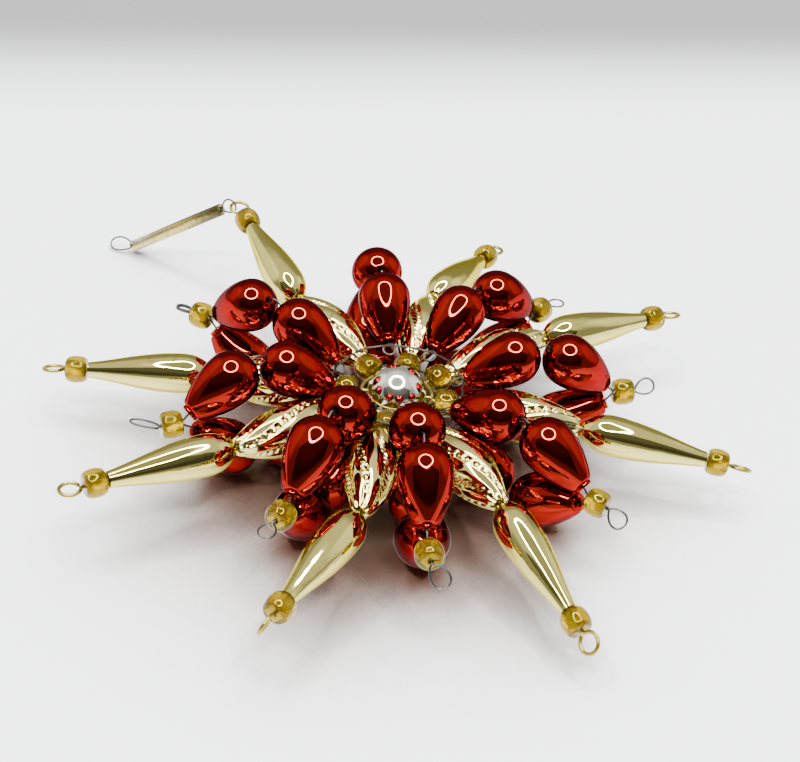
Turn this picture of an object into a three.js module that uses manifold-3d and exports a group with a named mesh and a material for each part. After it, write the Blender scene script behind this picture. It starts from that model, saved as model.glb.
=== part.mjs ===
// Beaded star ornament, lying on its back: silvered glass beads threaded on brass and steel wire.
// Eight gold rays lie in a middle plane. Between each two of them stands a petal of four red drops,
// two above the plane and two below it. Millimetres and degrees, +Z up.

import * as THREE from "three";
import { mergeVertices } from "three/addons/utils/BufferGeometryUtils.js";
import Module from "manifold-3d";

const wasm = await Module();
wasm.setup();

// Driving dimensions, in millimetres
const BRASS_WIRE = 0.7;
const STEEL_WIRE = 0.4;
const BEAD_GAP = 0.3;
const GOLD_BORE_GAP = 0.3;
const RED_BORE_GAP = 0.3;
const EYE_WIDTH = 4.4;
const LOOP_WIDTH = 3.9;
const EYE_OPENING = 1.1;
const LOOP_OPENING = 1;
const STRAND_PITCH = 0.5;
const BALL_WIDTH = 11.3;
const HUB_GAP = 0.65;
const SEED_WIDTH = 5.2;
const SEED_LENGTH = 3.9;
const OVAL_WIDTH = 9.6;
const OVAL_LENGTH = 22.9;
const OVAL_NECK = 3.3;
const OVAL_FLUTE = 0.6;
const OVAL_SWIRL = 115;
const GOLD_WIDTH = 7.6;
const GOLD_LENGTH = 23.7;
const GOLD_WIDE_NECK = 2.8;
const GOLD_TIP_NECK = 3;
const RED_WIDTH = 10.1;
const RED_LENGTH = 15;
const RED_NECK = 3.3;
const HEAD_GAP = 0.6;
const RING_SET_IN = 0.7;
const REST_GAP = 0.15;
const BUGLE_WIDTH = 2.6;
const BUGLE_LENGTH = 26;
const BUGLE_LIFT = 0.3;
const LINK_SLACK = 0.2;

// Shapes of the beads: the seed bead's end as a share of its width, how fully the oval and the red
// drop swell, how sharply the gold drop's two ends turn in, and where its belly lies.
const SEED_END = 0.7;
const OVAL_SWELL = 0.9;
const RED_SWELL = 0.85;
const GOLD_BELLY = 0.26;
const GOLD_WIDE_TURN = 2.6;
const GOLD_TIP_TURN = 1.3;
const HEAD_BREAK = 45;

// Where each profile has its corners, as shares of the bead's length
const BALL_SHARES = [0, 0.15, 0.38, 0.62, 0.85, 1];
const SEED_SHARES = [0, 0.5, 1];
const OVAL_SHARES = [0, 0.2, 0.5, 0.8, 1];
const GOLD_SHARES = [0, 0.07, GOLD_BELLY, 0.6, 1];
const RED_NECK_SHARES = [0, 0.25];

// Sides of the round pieces
const BALL_SIDES = 10;
const HUB_SIDES = 14;
const BEAD_SIDES = 8;
const RED_SIDES = 7;
const OVAL_SIDES = 12;
const FUSED_SEED_SIDES = 6;
const BRASS_SIDES = 4;
const STEEL_SIDES = 3;
const LOOP_STEPS = 8;

// Each ray, counter-clockwise seen from above, from the one that points left: where its oval points
// and how far it rises, the same for its drop past the bend, and how far its eye is turned.
const RAYS = [
  { bearing: 177.5, rise: -1, dropBearing: 178.5, dropRise: -5, eyeTurn: 20 },
  { bearing: 217.5, rise: 1, dropBearing: 211.5, dropRise: 1, eyeTurn: 5 },
  { bearing: 262.5, rise: -1, dropBearing: 245.5, dropRise: -1, eyeTurn: 70 },
  { bearing: 305, rise: -1, dropBearing: 300.5, dropRise: -11, eyeTurn: 60 },
  { bearing: 351.5, rise: 0, dropBearing: 356, dropRise: -8, eyeTurn: -30 },
  { bearing: 37, rise: 2.5, dropBearing: 30.5, dropRise: -4, eyeTurn: -20 },
  { bearing: 80.5, rise: -1, dropBearing: 66, dropRise: -8, eyeTurn: 0 },
  { bearing: 128, rise: 0.5, dropBearing: 120, dropRise: 8.5, eyeTurn: 0 },
];

// Each petal, where petal 1 stands between rays 1 and 2: where its upper drops point at the centre
// and at the tip, how far the tip stands above the star's plane, and how far its loop is turned.
const PETALS = [
  { bearing: 197, tipBearing: 203, tipLift: 1, loopTurn: 80 },
  { bearing: 245.5, tipBearing: 246, tipLift: 1.5, loopTurn: 0 },
  { bearing: 281.5, tipBearing: 280.5, tipLift: -0.6, loopTurn: 20 },
  { bearing: 327, tipBearing: 326.5, tipLift: -1.5, loopTurn: -60 },
  { bearing: 12, tipBearing: 12, tipLift: -1.2, loopTurn: -60 },
  { bearing: 60.5, tipBearing: 51, tipLift: -0.5, loopTurn: 0 },
  { bearing: 101, tipBearing: 101, tipLift: -1.6, loopTurn: 0 },
  { bearing: 160.5, tipBearing: 156, tipLift: 1.6, loopTurn: 60 },
];
const LEAST_UPPER_SLOPE = 21;
const LEAST_LOWER_SLOPE = 29;
const STEEPEST_SLOPE = 60;
const SLOPE_STEP = 0.5;
const HANGER_RAY = 7;
const HANGER_BEARING = 163;
const FAR_LOOP_FALL = 14;
const BALL_WIRE_BEARING = 178;

const finish = (color, metalness, roughness) => (
  new THREE.MeshStandardMaterial({ color, metalness, roughness })
);
const GOLD_GLASS = finish(0xd8cf8e, 0.9, 0.15);
const RED_GLASS = finish(0xc01410, 0.8, 0.15);
const SILVER_GLASS = finish(0xd9d9d4, 0.95, 0.1);
const AMBER_GLASS = finish(0xc8961e, 0.2, 0.15);
const BRASS = finish(0xb09a3c, 0.9, 0.3);
const STEEL = finish(0x7d7f82, 0.9, 0.35);

const radians = THREE.MathUtils.degToRad;
const sum = (...lengths) => lengths.reduce((total, length) => total + length, 0);

// A point or a direction at a bearing round the star and a height above its plane.
function polar(radius, bearing, height = 0) {
  const turn = radians(bearing);
  return new THREE.Vector3(radius * Math.cos(turn), radius * Math.sin(turn), height);
}

function heading(bearing, rise) {
  return polar(Math.cos(radians(rise)), bearing, Math.sin(radians(rise)));
}

function along(start, direction, distance) {
  return start.clone().addScaledVector(direction, distance);
}

const brassBore = BRASS_WIRE / 2 + GOLD_BORE_GAP;
const steelBore = STEEL_WIRE / 2 + RED_BORE_GAP;

// Profiles: the radius of each bead at a share of its length, from 0 to 1.
function ovalRadius(share) {
  const swell = Math.sin(Math.PI * share) ** OVAL_SWELL;
  return (OVAL_NECK + (OVAL_WIDTH - OVAL_NECK) * swell) / 2;
}

// The gold drop turns in quickly at its wide end and tapers slowly to its tip.
function goldRadius(share) {
  if (share < GOLD_BELLY) {
    const fall = ((GOLD_BELLY - share) / GOLD_BELLY) ** GOLD_WIDE_TURN;
    return (GOLD_WIDTH - (GOLD_WIDTH - GOLD_WIDE_NECK) * fall) / 2;
  }
  const reach = (share - GOLD_BELLY) / (1 - GOLD_BELLY);
  const fall = 1 - Math.cos(Math.PI / 2 * reach) ** GOLD_TIP_TURN;
  return (GOLD_WIDTH - (GOLD_WIDTH - GOLD_TIP_NECK) * fall) / 2;
}

// The red drop runs from its narrow neck to a round head, which the bore cuts flat in front.
const redHead = RED_LENGTH - Math.sqrt((RED_WIDTH / 2) ** 2 - steelBore ** 2);

function redRadius(share) {
  const place = share * RED_LENGTH;
  if (place < redHead) {
    const swell = Math.sin(Math.PI / 2 * place / redHead) ** RED_SWELL;
    return (RED_NECK + (RED_WIDTH - RED_NECK) * swell) / 2;
  }
  return Math.sqrt((RED_WIDTH / 2) ** 2 - (place - redHead) ** 2);
}

// A profile's corners: how far each stands from the axis, and its place along it.
function wallOf(length, shares, radiusAt) {
  return shares.map((share) => new THREE.Vector2(radiusAt(share), share * length));
}

// A closed lathe body round Y: the profile's shares from end to end, and the bore back again.
function threadedBead(length, shares, radiusAt, boreRadius, sides) {
  const wall = wallOf(length, shares, radiusAt);
  const bore = [new THREE.Vector2(boreRadius, length), new THREE.Vector2(boreRadius, 0)];
  return new THREE.LatheGeometry([...wall, ...bore, wall[0].clone()], sides);
}

function seedRadius(share) {
  return SEED_WIDTH / 2 * (SEED_END + (1 - SEED_END) * Math.sin(Math.PI * share));
}

function seedBead() {
  return threadedBead(SEED_LENGTH, SEED_SHARES, seedRadius, brassBore, BEAD_SIDES);
}

// The front of the head ends at the bore, so that the bore's wall starts there.
function redDrop() {
  const front = (redHead + RED_WIDTH / 2 * Math.sin(radians(HEAD_BREAK))) / RED_LENGTH;
  const shares = [...RED_NECK_SHARES, redHead / RED_LENGTH, front];
  const wall = wallOf(RED_LENGTH, shares, redRadius);
  const bore = [new THREE.Vector2(steelBore, RED_LENGTH), new THREE.Vector2(steelBore, 0)];
  return new THREE.LatheGeometry([...wall, ...bore, wall[0].clone()], RED_SIDES);
}

function goldDrop() {
  return threadedBead(GOLD_LENGTH, GOLD_SHARES, goldRadius, brassBore, BEAD_SIDES);
}

// Every second corner round the oval is sunk between the necks, which gives its flutes. They swirl
// to the left, and the lathe body is mirrored so that its facets' diagonals follow them.
function patternedOval() {
  const wall = wallOf(OVAL_LENGTH, OVAL_SHARES, ovalRadius);
  const points = [new THREE.Vector2(0, 0), ...wall, new THREE.Vector2(0, OVAL_LENGTH)];
  const bead = new THREE.LatheGeometry(points, OVAL_SIDES);
  bead.setIndex(Array.from(bead.index.array).reverse());
  const at = bead.attributes.position;
  for (let i = 0; i < at.count; i += 1) {
    const share = at.getY(i) / OVAL_LENGTH;
    const side = Math.floor(i / points.length) % OVAL_SIDES;
    const depth = side % 2 === 1 ? OVAL_FLUTE * Math.sin(Math.PI * share) : 0;
    const spoke = Math.max(Math.hypot(at.getX(i), at.getZ(i)) - depth, 0);
    const turn = Math.atan2(-at.getX(i), at.getZ(i)) - radians(OVAL_SWIRL) * share;
    at.setXYZ(i, spoke * Math.sin(turn), at.getY(i), spoke * Math.cos(turn));
  }
  const through = 2 * (OVAL_LENGTH + BEAD_GAP);
  const bore = new THREE.CylinderGeometry(brassBore, brassBore, through, BEAD_SIDES);
  return geometryOf(solidOf(new THREE.Mesh(bead)).subtract(solidOf(new THREE.Mesh(bore))));
}

const ballHalf = Math.sqrt((BALL_WIDTH / 2) ** 2 - brassBore ** 2);

function silverBall() {
  const round = (share) => Math.hypot(brassBore, ballHalf * 2 * Math.sqrt(share * (1 - share)));
  const wall = BALL_SHARES.map((share) => new THREE.Vector2(round(share), share * 2 * ballHalf));
  return new THREE.LatheGeometry([...wall, wall[0].clone()], BALL_SIDES);
}

// A wire's path, whose corners are given. Its section stands square to the mean of the two
// stretches that meet at a corner.
class WirePath extends THREE.Curve {
  constructor(corners) {
    super();
    this.corners = corners;
  }

  getPoint(t, target = new THREE.Vector3()) {
    const last = this.corners.length - 1;
    const before = Math.min(Math.floor(t * last), last - 1);
    return target.lerpVectors(this.corners[before], this.corners[before + 1], t * last - before);
  }

  getPointAt(t, target) {
    return this.getPoint(t, target);
  }

  getTangentAt(t, target = new THREE.Vector3()) {
    const last = this.corners.length - 1;
    const corner = Math.round(t * last);
    const here = this.corners[corner];
    const before = here.clone().sub(this.corners[Math.max(corner - 1, 0)]).normalize();
    const after = this.corners[Math.min(corner + 1, last)].clone().sub(here).normalize();
    return target.copy(before).add(after).normalize();
  }
}

function wire(corners, width, sides) {
  const outline = Array.from({ length: sides }, (_, side) => {
    const turn = (2 * Math.PI * side) / sides;
    return new THREE.Vector2(width / 2 * Math.cos(turn), width / 2 * Math.sin(turn));
  });
  const options = { steps: corners.length - 1, extrudePath: new WirePath(corners) };
  return new THREE.ExtrudeGeometry(new THREE.Shape(outline), options);
}

// The corners of a loop that starts and ends beside one point and lies ahead of it.
function loopCorners(start, ahead, side, width, opening) {
  const radius = width / 2;
  const centre = along(start, ahead, radius);
  const gap = opening / radius / 2;
  return Array.from({ length: LOOP_STEPS + 1 }, (_, step) => {
    const turn = gap + (2 * Math.PI - 2 * gap) * step / LOOP_STEPS;
    return along(along(centre, ahead, -radius * Math.cos(turn)), side, radius * Math.sin(turn));
  });
}

// The sideways direction of a loop: level, then turned round the way it points.
function sideways(ahead, turn) {
  const level = new THREE.Vector3(0, 0, 1).cross(ahead).normalize();
  return level.applyAxisAngle(ahead, radians(turn));
}

// A closed wire ring through its stations, bent from a torus.
function ringWire(stations, width, sides) {
  const ring = new THREE.TorusGeometry(1, width / 2, sides, stations.length);
  const at = ring.attributes.position;
  for (let i = 0; i < at.count; i += 1) {
    const place = i % (stations.length + 1);
    const turn = 2 * Math.PI * Math.floor(i / (stations.length + 1)) / sides;
    const { radius, bearing, height } = stations[place % stations.length];
    const out = radius + width / 2 * Math.cos(turn);
    at.setXYZ(i, ...polar(out, bearing, height + width / 2 * Math.sin(turn)));
  }
  return ring;
}

// Meshes and their solids
function named(name, geometry, material) {
  const mesh = new THREE.Mesh(geometry, material);
  mesh.name = name;
  return mesh;
}

// Stands a bead's axis, which is Y, on a line, with one corner of its section pointing down.
function threadOn(mesh, start, direction) {
  const down = new THREE.Vector3(0, 0, -1);
  down.addScaledVector(direction, -down.dot(direction)).normalize();
  const across = direction.clone().cross(down);
  mesh.quaternion.setFromRotationMatrix(new THREE.Matrix4().makeBasis(across, direction, down));
  mesh.position.copy(start);
  return mesh;
}

function solidOf(mesh) {
  mesh.updateMatrix();
  const plain = mesh.geometry.clone().applyMatrix4(mesh.matrix);
  plain.deleteAttribute("normal");
  plain.deleteAttribute("uv");
  const merged = mergeVertices(plain);
  return new wasm.Manifold(new wasm.Mesh({
    numProp: 3,
    vertProperties: new Float32Array(merged.attributes.position.array),
    triVerts: new Uint32Array(merged.index.array),
  }));
}

function geometryOf(solid) {
  const whole = solid.getMesh();
  const geometry = new THREE.BufferGeometry();
  const corners = new THREE.BufferAttribute(new Float32Array(whole.vertProperties), 3);
  geometry.setAttribute("position", corners);
  geometry.setIndex(new THREE.BufferAttribute(new Uint32Array(whole.triVerts), 1));
  geometry.computeVertexNormals();
  return geometry;
}

function fused(name, meshes, material) {
  const whole = meshes.map(solidOf).reduce((joined, next) => joined.add(next));
  return named(name, geometryOf(whole), material);
}

// A seed bead that is tight on its wire is solid.
function tightSeed(start, direction) {
  const wall = wallOf(SEED_LENGTH, SEED_SHARES, seedRadius);
  const points = [new THREE.Vector2(0, 0), ...wall, new THREE.Vector2(0, SEED_LENGTH)];
  const bead = new THREE.Mesh(new THREE.LatheGeometry(points, FUSED_SEED_SIDES));
  return threadOn(bead, start, direction);
}

// How far apart two bead ends stand where the wire bends between them.
function bendGap(firstWidth, secondWidth, bend) {
  return BEAD_GAP + (firstWidth + secondWidth) / 2 * Math.sin(radians(bend) / 2);
}

// The star: hub ring, whose flats clear the ball, then seed bead, oval, bend, drop, seed bead and
// eye along each arm
const hubRadius = sum(BALL_WIDTH / 2, HUB_GAP, BRASS_WIRE / 2) / Math.cos(Math.PI / HUB_SIDES);
const seedStart = sum(hubRadius, BRASS_WIRE / 2, BEAD_GAP);
const ovalStart = sum(seedStart, SEED_LENGTH, BEAD_GAP);
const ovalEnd = sum(ovalStart, OVAL_LENGTH);

function layRay(ray) {
  const centre = new THREE.Vector3();
  const inner = heading(ray.bearing, ray.rise);
  const outer = heading(ray.dropBearing, ray.dropRise);
  const bend = THREE.MathUtils.radToDeg(inner.angleTo(outer));
  const halfGap = bendGap(OVAL_NECK, GOLD_WIDE_NECK, bend) / 2;
  const corner = along(centre, inner, sum(ovalEnd, halfGap));
  const dropStart = along(corner, outer, halfGap);
  const tipSeed = along(dropStart, outer, sum(GOLD_LENGTH, BEAD_GAP));
  const eye = along(tipSeed, outer, sum(SEED_LENGTH, BEAD_GAP, BRASS_WIRE / 2));
  return { ray, centre, inner, outer, corner, dropStart, tipSeed, eye };
}

const rays = RAYS.map(layRay);

function armWire({ ray, centre, inner, outer, corner, eye }) {
  const side = sideways(outer, ray.eyeTurn);
  const loop = loopCorners(eye, outer, side, EYE_WIDTH - BRASS_WIRE, EYE_OPENING);
  const neck = along(eye, outer, -BEAD_GAP);
  const corners = [along(centre, inner, hubRadius), corner, neck, ...loop.slice(0, -1)];
  return new THREE.Mesh(wire(corners, BRASS_WIRE, BRASS_SIDES));
}

function starWire() {
  const ring = new THREE.TorusGeometry(hubRadius, BRASS_WIRE / 2, BRASS_SIDES, HUB_SIDES);
  const ends = [hubRadius, -hubRadius].map((radius) => polar(radius, BALL_WIRE_BEARING));
  const ballWire = new THREE.Mesh(wire(ends, BRASS_WIRE, BRASS_SIDES));
  const seeds = rays.map(({ centre, inner }) => tightSeed(along(centre, inner, seedStart), inner));
  const wires = [new THREE.Mesh(ring), ballWire, ...rays.map(armWire)];
  return fused("star_wire", [...wires, ...seeds], BRASS);
}

function rayBeads({ centre, inner, outer, dropStart, tipSeed }, index) {
  const number = index + 1;
  const oval = named(`patterned_oval_${number}`, patternedOval(), GOLD_GLASS);
  const drop = named(`gold_drop_${number}`, goldDrop(), GOLD_GLASS);
  const seed = named(`tip_seed_bead_${number}`, seedBead(), AMBER_GLASS);
  return [
    threadOn(oval, along(centre, inner, ovalStart), inner),
    threadOn(drop, dropStart, outer),
    threadOn(seed, tipSeed, outer),
  ];
}

// The wire rings pass over and under the ovals' inner necks
const ringRadius = sum(ovalStart, RING_SET_IN);
const ringClearance = sum(ovalRadius(RING_SET_IN / OVAL_LENGTH), BEAD_GAP, STEEL_WIRE / 2);

function ringStations(hooks, sign) {
  const crossings = rays.map(({ ray }) => ({
    radius: ringRadius,
    bearing: ray.bearing,
    height: ringRadius * Math.sin(radians(ray.rise)) + sign * ringClearance,
  }));
  return crossings.flatMap((crossing, index) => {
    const next = crossings[(index + 1) % crossings.length];
    const height = (crossing.height + next.height) / 2;
    return [crossing, { radius: ringRadius, bearing: hooks[index], height }];
  });
}

// The largest ball round each of some even places on a bead's axis that stays inside the bead
const SAMPLES = 24;

function innerBalls(length, radiusAt) {
  return Array.from({ length: SAMPLES - 1 }, (_, index) => {
    const share = (index + 1) / SAMPLES;
    const step = 0.5 / SAMPLES;
    const taper = (radiusAt(share + step) - radiusAt(share - step)) / (2 * step * length);
    return { place: share * length, radius: radiusAt(share) / Math.hypot(1, taper) };
  });
}

const redBalls = innerBalls(RED_LENGTH, redRadius);
const ovalBalls = innerBalls(OVAL_LENGTH, ovalRadius);

// The smallest gap between a red drop on a line and the ovals of two rays
function gapToOvals(start, direction, neighbours) {
  const gaps = neighbours.flatMap(({ centre, inner }) => redBalls.flatMap((red) => {
    const middle = along(start, direction, red.place);
    return ovalBalls.map((oval) => {
      const other = along(centre, inner, sum(ovalStart, oval.place));
      return middle.distanceTo(other) - red.radius - oval.radius;
    });
  }));
  return Math.min(...gaps);
}

// The slope at which an inner drop, hooked on the ring, just clears the ovals beside it
function restingSlope(hook, bearing, sign, neighbours) {
  const hookGap = sum(STEEL_WIRE / 2, BEAD_GAP);
  let slope = sign > 0 ? LEAST_UPPER_SLOPE : LEAST_LOWER_SLOPE;
  const isClear = () => {
    const direction = heading(bearing, sign * slope);
    return gapToOvals(along(hook, direction, hookGap), direction, neighbours) > REST_GAP;
  };
  while (slope < STEEPEST_SLOPE && !isClear()) {
    slope += SLOPE_STEP;
  }
  return slope;
}

// Petals: from the upper ring out to the upper peak, down to the tip, back to the lower peak and in
// to the lower ring. The two outer drops and the seed bead meet at the tip.
const tipSpread = sum(RED_NECK, BEAD_GAP) / 2;
const SETTLING_ROUNDS = 5;

// How far a peak stands from the necks of its two drops, whose heads just clear each other.
function legLength(bend) {
  return sum(redHead, sum(RED_WIDTH, HEAD_GAP) / 2 / Math.cos(bend / 2));
}

function layHalf(station, bearing, tipBearing, tipHeight, sign, neighbours) {
  const hook = polar(station.radius, station.bearing, station.height);
  const slope = restingSlope(hook, bearing, sign, neighbours);
  const inward = heading(bearing, sign * slope);
  const innerStart = along(hook, inward, sum(STEEL_WIRE / 2, BEAD_GAP));
  const neckHeight = tipHeight + sign * tipSpread;
  let fall = -sign * radians(slope);
  let [leg, peak] = [0, hook];
  for (let round = 0; round < SETTLING_ROUNDS; round += 1) {
    leg = legLength(sum(radians(slope), Math.abs(fall)));
    peak = along(innerStart, inward, leg);
    fall = Math.asin((neckHeight - peak.z) / leg);
  }
  const flat = leg * Math.cos(fall);
  const target = polar(Math.hypot(peak.x, peak.y) + flat, tipBearing);
  const level = target.setZ(0).sub(peak.clone().setZ(0)).normalize();
  const outward = level.multiplyScalar(Math.cos(fall)).setZ(Math.sin(fall));
  const outerStart = along(peak, outward, leg);
  const neckEdge = outerStart.length() + RED_NECK / 2 * Math.abs(Math.sin(fall));
  return { hook, inward, innerStart, peak, outward, outerStart, neckEdge };
}

function layPetal(petal, index, upperStations, lowerStations) {
  const neighbours = [rays[index], rays[(index + 1) % rays.length]];
  const upperStation = upperStations[2 * index + 1];
  const lowerStation = lowerStations[2 * index + 1];
  const upper = layHalf(upperStation, petal.bearing, petal.tipBearing, petal.tipLift, 1, neighbours);
  const lower = layHalf(
    lowerStation, lowerStation.bearing, petal.tipBearing, petal.tipLift, -1, neighbours,
  );
  const ahead = heading(petal.tipBearing, 0);
  const reach = sum(Math.max(upper.neckEdge, lower.neckEdge), BEAD_GAP);
  const seed = polar(reach, petal.tipBearing, petal.tipLift);
  return { petal, upper, lower, ahead, seed };
}

function midBearing(first, second) {
  const gap = THREE.MathUtils.euclideanModulo(second - first, 360);
  return first + gap / 2;
}

const upperRing = ringStations(PETALS.map(({ bearing }) => bearing), 1);
const lowerHooks = RAYS.map(({ bearing }, index) => (
  midBearing(bearing, RAYS[(index + 1) % RAYS.length].bearing)
));
const lowerRing = ringStations(lowerHooks, -1);
const petals = PETALS.map((petal, index) => layPetal(petal, index, upperRing, lowerRing));

function petalWire({ petal, upper, lower, ahead, seed }) {
  const up = new THREE.Vector3(0, 0, STRAND_PITCH / 2);
  const loopStart = along(seed, ahead, sum(SEED_LENGTH, STEEL_WIRE));
  const side = sideways(ahead, petal.loopTurn);
  const loop = loopCorners(loopStart, ahead, side, LOOP_WIDTH - STEEL_WIRE, LOOP_OPENING);
  const corners = [
    upper.hook, upper.peak, upper.outerStart, seed.clone().add(up),
    ...loop,
    seed.clone().sub(up), lower.outerStart, lower.peak, lower.hook,
  ];
  return new THREE.Mesh(wire(corners, STEEL_WIRE, STEEL_SIDES));
}

function petalWires() {
  const rings = [upperRing, lowerRing].map((stations) => (
    new THREE.Mesh(ringWire(stations, STEEL_WIRE, STEEL_SIDES))
  ));
  const seeds = petals.map(({ seed, ahead }) => tightSeed(seed, ahead));
  return fused("petal_wires", [...rings, ...petals.map(petalWire), ...seeds], STEEL);
}

function petalBeads({ upper, lower }, index) {
  const number = index + 1;
  const half = (level, { inward, innerStart, outward, outerStart }) => {
    const inner = named(`${level}_inner_drop_${number}`, redDrop(), RED_GLASS);
    const outer = named(`${level}_outer_drop_${number}`, redDrop(), RED_GLASS);
    return [
      threadOn(inner, innerStart, inward),
      threadOn(outer, outerStart, outward.clone().negate()),
    ];
  };
  return [...half("upper", upper), ...half("lower", lower)];
}

// The hanger's near loop holds the wire of its ray's eye, a little inside its end, and its bugle
// slopes down from there to the table.
function layHanger(floor) {
  const { ray, eye, outer } = rays[HANGER_RAY];
  const eyeRadius = (EYE_WIDTH - BRASS_WIRE) / 2;
  const side = sideways(outer, ray.eyeTurn);
  const turn = radians(HANGER_BEARING - ray.dropBearing);
  const toWire = outer.clone().multiplyScalar(Math.cos(turn)).addScaledVector(side, Math.sin(turn));
  const held = along(along(eye, outer, eyeRadius), toWire, eyeRadius);
  const inset = sum(BRASS_WIRE / 2, BEAD_GAP, STEEL_WIRE / 2, LINK_SLACK);
  const toBugle = sum(LOOP_WIDTH, -inset);
  const farHeight = sum(floor, BUGLE_WIDTH / 2, BUGLE_LIFT);
  const slope = Math.asin((held.z - farHeight) / sum(toBugle, BUGLE_LENGTH));
  const down = heading(HANGER_BEARING, THREE.MathUtils.radToDeg(-slope));
  return { down, bugleStart: along(held, down, toBugle) };
}

function hanger(floor) {
  const { down, bugleStart } = layHanger(floor);
  const bugleEnd = along(bugleStart, down, BUGLE_LENGTH);
  const loopWidth = LOOP_WIDTH - STEEL_WIRE;
  const upright = sideways(down, 90);
  const back = down.clone().negate();
  const nearStart = along(bugleStart, back, STEEL_WIRE);
  const nearLoop = loopCorners(nearStart, back, upright, loopWidth, LOOP_OPENING);
  const ahead = heading(HANGER_BEARING, -FAR_LOOP_FALL);
  const farStart = along(bugleEnd, ahead, STEEL_WIRE);
  const farLoop = loopCorners(farStart, ahead, sideways(ahead, 0), loopWidth, LOOP_OPENING);
  const corners = [...nearLoop.slice(1).reverse(), bugleStart, bugleEnd, ...farLoop.slice(0, -1)];
  const tube = new THREE.CylinderGeometry(BUGLE_WIDTH / 2, BUGLE_WIDTH / 2, BUGLE_LENGTH, BEAD_SIDES);
  const bugle = new THREE.Mesh(tube.translate(0, BUGLE_LENGTH / 2, 0));
  const link = new THREE.Mesh(wire(corners, STEEL_WIRE, BRASS_SIDES));
  return fused("hanger", [link, threadOn(bugle, bugleStart, down)], GOLD_GLASS);
}

function ball() {
  const mesh = named("silver_ball", silverBall(), SILVER_GLASS);
  const axis = polar(1, BALL_WIRE_BEARING);
  return threadOn(mesh, axis.clone().multiplyScalar(-ballHalf), axis);
}

const star = new THREE.Group();
star.add(ball(), starWire(), petalWires());
star.add(...rays.flatMap(rayBeads), ...petals.flatMap(petalBeads));
star.updateMatrixWorld(true);
const floor = new THREE.Box3().setFromObject(star, true).min.z;
star.add(hanger(floor));

// The origin is the middle of the underside
const group = new THREE.Group();
group.add(star);
group.updateMatrixWorld(true);
const box = new THREE.Box3().setFromObject(group, true);
const middle = box.getCenter(new THREE.Vector3());
star.position.set(-middle.x, -middle.y, -box.min.z);

export default group;
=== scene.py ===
import logging
import math
from dataclasses import dataclass, field
from enum import Enum
from typing import Iterator, Protocol, Sequence

import bmesh
import bpy
from mathutils import Matrix, Vector


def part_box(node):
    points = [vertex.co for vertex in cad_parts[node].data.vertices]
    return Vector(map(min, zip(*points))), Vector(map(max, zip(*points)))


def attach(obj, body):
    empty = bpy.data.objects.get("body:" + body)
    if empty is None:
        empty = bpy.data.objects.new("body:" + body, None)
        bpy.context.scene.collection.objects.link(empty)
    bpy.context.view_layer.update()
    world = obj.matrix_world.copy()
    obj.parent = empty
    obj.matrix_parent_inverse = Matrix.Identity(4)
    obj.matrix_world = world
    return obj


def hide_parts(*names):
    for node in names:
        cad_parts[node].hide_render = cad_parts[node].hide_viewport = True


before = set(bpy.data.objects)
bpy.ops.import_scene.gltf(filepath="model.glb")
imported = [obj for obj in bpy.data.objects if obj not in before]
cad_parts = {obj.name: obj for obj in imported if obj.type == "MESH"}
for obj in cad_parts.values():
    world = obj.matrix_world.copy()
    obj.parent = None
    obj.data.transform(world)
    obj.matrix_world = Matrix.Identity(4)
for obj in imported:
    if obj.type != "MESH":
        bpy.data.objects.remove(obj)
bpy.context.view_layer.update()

LOG = logging.getLogger("beaded_star")
MM = 0.001
UP = Vector((0.0, 0.0, 1.0))
ROOT = "root"

Mesh = bmesh.types.BMesh
Socket = bpy.types.NodeSocket
Triple = tuple[float, float, float]

# Sizes that several pieces share, in metres
BRASS_WIRE = 0.7 * MM
STEEL_WIRE = 0.4 * MM
HUB_RADIUS = 6.74 * MM
BORE = 0.65 * MM
GAP = 0.3 * MM

# Degrees between two faces from which their edge looks sharp
SHARP_EDGE = 50.0

# The photograph's frame and the camera fitted to it, in pixels, degrees and metres
IMAGE_WIDTH = 800
IMAGE_HEIGHT = 762
STAR_PIXEL = (396.6, 394.0)
FOCAL_PIXELS = 1710.5
CAMERA_DISTANCE = 0.3207
CAMERA_RISE = 36.67
CAMERA_ROLL = 5.37
SENSOR_WIDTH = 36.0
TOWARD_VIEWER = Vector((0.0, -math.cos(math.radians(CAMERA_RISE)),
                        math.sin(math.radians(CAMERA_RISE))))
# The rows where the floor's painted dimming behind the star is nil and where it is full
FLOOR_BRIGHT_ROW = 128.0
FLOOR_DIM_ROW = 22.0

# The soft shade that the star throws on the floor: the way most of the light comes from, how far
# the shade reaches, and the shares of open sky where the floor is darkest and where it is plain
SHADE_AXIS = (0.1, 0.55, 0.83)
SHADE_REACH = 0.055
SHADE_DEEP = 0.36
SHADE_CLEAR = 0.9

# The floor's own colour near the star, the painted dimmer grey far behind it that stands in for the
# light fading toward the back, and the tint of its deepest shade
FLOOR_NEAR = (0.87, 0.875, 0.88)
FLOOR_FAR_PAINTED_DIM = (0.19, 0.188, 0.186)
FLOOR_SHADE = (0.12, 0.065, 0.045)

# The glow of the tent's wall, what its ceiling and sides add to it, and the glow of its ring lamp
WALL_GLOW = 0.5
CEILING_GLOW = 0.7
SIDE_GLOW = 1.3
RING_GLOW = 142.0

# The lamp's bearing and rise, and how far from it the bright and dim parts overhead reach, each as
# the degrees where it is full and where it ends
LAMP_WAY = (250.0, 84.0)
RING_OUTSIDE = (25.3, 26.5)
RING_INSIDE = (22.9, 24.1)
CEILING_SPREAD = (44.0, 62.0)
HOLLOW_SPREAD = (21.0, 24.0)
HOLLOW_DIM = 0.75

# The colours of the tent's light and of the plain backdrop
TENT_COLOUR = (0.98, 0.99, 1.0, 1.0)
BACKDROP_COLOUR = (0.8, 0.805, 0.815, 1.0)

# The bright sides' bearings, their rise and how far each spreads, in degrees
SIDE_BEARINGS = (24.0, 158.0)
SIDE_RISE = 22.0
SIDE_SPREAD = (14.0, 30.0)

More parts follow.
